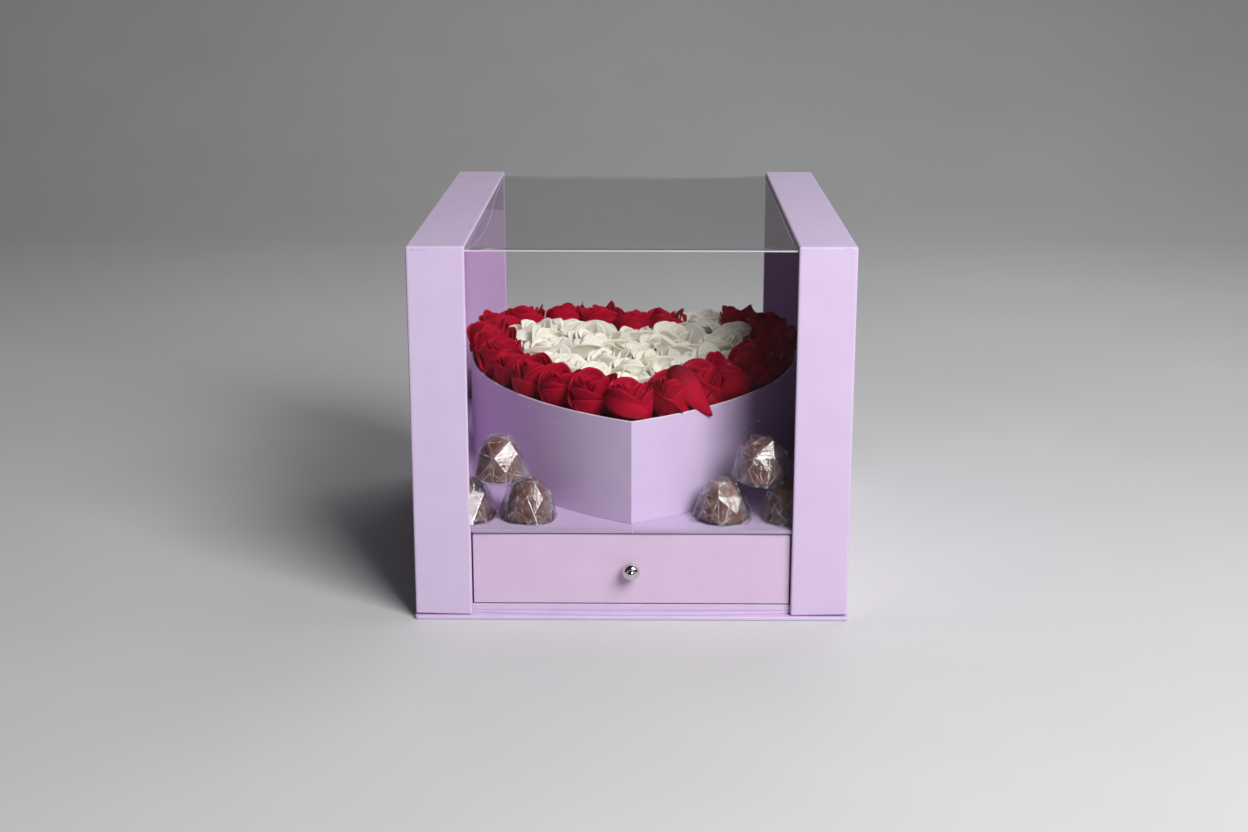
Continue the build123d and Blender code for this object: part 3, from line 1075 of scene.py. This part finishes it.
def make_window():
    """The clear sheet: one strip folded up the front, over the top and down the back."""
    front_low, front_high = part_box("window_front")
    thickness = front_high.y - front_low.y
    half = front_high.x
    path = folded_path(1.0 * MM)
    columns, rows = 48, len(path) - 1
    # The sheet sags a little between the boards that hold it.
    held_x, slack = 104 * MM, 0.55 * MM
    shape = bmesh.new()
    outer, inner = [], []
    for y, z, angle in path:
        normal = Vector((0, -cos(radians(angle)), sin(radians(angle))))
        line, under = [], []
        for i in range(columns + 1):
            x = half * (2 * i / columns - 1)
            free = max(0.0, 1 - (x / held_x) ** 4) * (angle in (0, 90, 180))
            sag = free * slack * (1 + noise.noise(Vector((x * 14, y * 9, z * 9))))
            point = Vector((x, y, z)) - normal * sag
            line.append(shape.verts.new(point))
            under.append(shape.verts.new(point - normal * thickness))
        outer.append(line)
        inner.append(under)
    for j in range(rows):
        # The faces of the front fold are creased, and have the second material, whose whitish haze
        # is a painted highlight along the fold.
        creased = 0 < path[j][2] < 90 or 0 < path[j + 1][2] < 90
        for i in range(columns):
            skin = (outer[j][i], outer[j][i + 1], outer[j + 1][i + 1], outer[j + 1][i])
            lining = (inner[j][i + 1], inner[j][i], inner[j + 1][i], inner[j + 1][i + 1])
            for corners in (skin, lining):
                shape.faces.new(corners).material_index = int(creased)
    close_border(shape, outer, inner, rows, columns)
    piece = add_piece(
        "folded_window",
        mesh_from(shape, "window"),
        window_film,
        "cover",
        ("window_front", "window_top", "window_back"),
    )
    piece.data.materials.append(film_crease_painted_highlight)


def make_film_edge(name, side, bow):
    """The glued edge of the top film, which bows out from under the board near the front."""
    strip_low, strip_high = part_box(f"cover_{name}_top_strip")
    edge = strip_high.x if side < 0 else strip_low.x
    below, inset, gap, radius, steps = 0.1 * MM, 2 * MM, 0.3 * MM, 0.22 * MM, 40
    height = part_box("window_top")[0].z - below
    front, back = strip_low.y + inset, strip_high.y - inset
    path = []
    for k in range(steps + 1):
        t = k / steps
        x = edge - side * (bow * t * (1 - t) ** 3 + gap)
        path.append(Vector((x, front + (back - front) * t, height)))
    shape = bmesh.new()
    add_bead(shape, path, radius)
    # The bead is painted whitish as a highlight along the film's edge.
    add_piece(f"film_edge_{name}", mesh_from(shape, name), film_crease_painted_highlight, "cover")


# The folds at the top of each front strip: the (x, z) of their two ends from the outer corner,
# how many steps, and their radius, in mm.
STRIP_FOLDS = {
    "left": (((1, -2.6), (11, -2.2), 8, 0.13), ((1, -2.6), (1.9, -1.2), 4, 0.12)),
    "right": (
        ((-6, -0.6), (-0.8, -4.2), 6, 0.13),
        ((-3.5, -0.5), (-0.6, -1.9), 6, 0.13),
        ((-0.9, -4), (-0.9, -30), 6, 0.13),
    ),
}


def make_strip_folds():
    """Where the paper is turned and tucked at the top of the cover's front strips."""
    # The left strip's tucks are painted darker as shade in their folds; the right strip's tucks are
    # plain lilac.
    for name, material in (("left", fold_painted_shade), ("right", lilac)):
        low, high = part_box(f"cover_{name}_front_strip")
        corner = Vector((low.x if name == "left" else high.x, low.y - 0.1 * MM, high.z))
        shape = bmesh.new()
        for start, end, steps, radius in STRIP_FOLDS[name]:
            first, last = (corner + Vector((x, 0, z)) * MM for x, z in (start, end))
            path = [first.lerp(last, k / steps) for k in range(steps + 1)]
            add_bead(shape, path, radius * MM)
        add_piece(f"paper_tuck_{name}", mesh_from(shape, "tuck"), material, "cover")


def make_corner_folds():
    """The curled tucks of paper at the two front corners of the base board."""
    low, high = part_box("base_board")
    middle_z = (low.z + high.z) / 2
    shape = bmesh.new()
    for side in (-1, 1):
        for turn in range(3):
            reach = (0.5 + 0.45 * turn) * MM
            curl = []
            for k in range(9):
                angle = radians(-60 + 30 * k)
                x = side * (high.x - 3.4 * MM + reach * cos(angle))
                z = middle_z + 0.6 * reach * sin(angle)
                curl.append(Vector((x, low.y + 0.05 * MM, z)))
            add_bead(shape, curl, 0.11 * MM)
    add_piece("base_corner_tucks", mesh_from(shape, "tucks"), lilac, "base")


make_cover_side("left", -1)
make_cover_side("right", 1)
make_window()
make_film_edge("left", -1, 63 * MM)
make_film_edge("right", 1, 12 * MM)
make_strip_folds()
make_corner_folds()


# ---- floor, light and camera -------------------


def make_stage():
    """A pale floor that sweeps up into a pale backdrop."""
    material, nodes, links, shader = new_material("pale_floor")
    clouds = noise_node(nodes, links, 3.0, 3.0)
    tint = ramp_node(nodes, links, clouds.outputs["Fac"], (0.60, 0.60, 0.61), (0.64, 0.64, 0.645))
    links.new(tint.outputs["Color"], shader.inputs["Base Color"])
    shader.inputs["Roughness"].default_value = 0.7
    shape = bmesh.new()
    bend, back, far = 1.2, 2.6, 6.0
    path = [(-far, 0.0), (back - bend, 0.0)]
    path += [
        (back - bend + bend * sin(radians(angle)), bend - bend * cos(radians(angle)))
        for angle in range(9, 90, 9)
    ]
    path += [(back, bend), (back, far)]
    lines = [[shape.verts.new((x, y, z)) for x in (-far, far)] for y, z in path]
    for first, second in zip(lines, lines[1:]):
        shape.faces.new((first[0], first[1], second[1], second[0]))
    mesh = bpy.data.meshes.new("pale_floor")
    shape.to_mesh(mesh)
    shape.free()
    floor = bpy.data.objects.new("pale_floor", mesh)
    bpy.context.scene.collection.objects.link(floor)
    mesh.materials.append(material)
    for face in mesh.polygons:
        face.use_smooth = True


def add_light(name, place, target, size, power, colour):
    """A soft square light that looks at a point."""
    light = bpy.data.lights.new(name, "AREA")
    light.size = size
    light.energy = power
    light.color = colour
    lamp = bpy.data.objects.new(name, light)
    lamp.location = place
    lamp.rotation_euler = (Vector(target) - Vector(place)).to_track_quat("-Z", "Y").to_euler()
    bpy.context.scene.collection.objects.link(lamp)


make_stage()
middle = (0, 0, 0.13)
add_light("key", (0.88, -1.45, 1.37), middle, 1.05, 50, (1.0, 0.995, 0.985))
add_light("top", (0.6, 1.0, 1.55), middle, 1.0, 8, (0.97, 0.98, 1.0))

world = bpy.data.worlds.new("studio")
bpy.context.scene.world = world
world.use_nodes = True
world.node_tree.nodes["Background"].inputs["Color"].default_value = (0.80, 0.82, 0.86, 1)
world.node_tree.nodes["Background"].inputs["Strength"].default_value = 0.03

camera = bpy.data.cameras.new("camera")
camera.sensor_width = 36
camera.lens = 53.97
eye = bpy.data.objects.new("camera", camera)
eye.location = (0.0098, -1.4073, 0.4771)
eye.rotation_euler = (radians(90 - 15.1), 0, radians(0.69))
bpy.context.scene.collection.objects.link(eye)
bpy.context.scene.camera = eye
bpy.context.scene.view_settings.view_transform = "Standard"
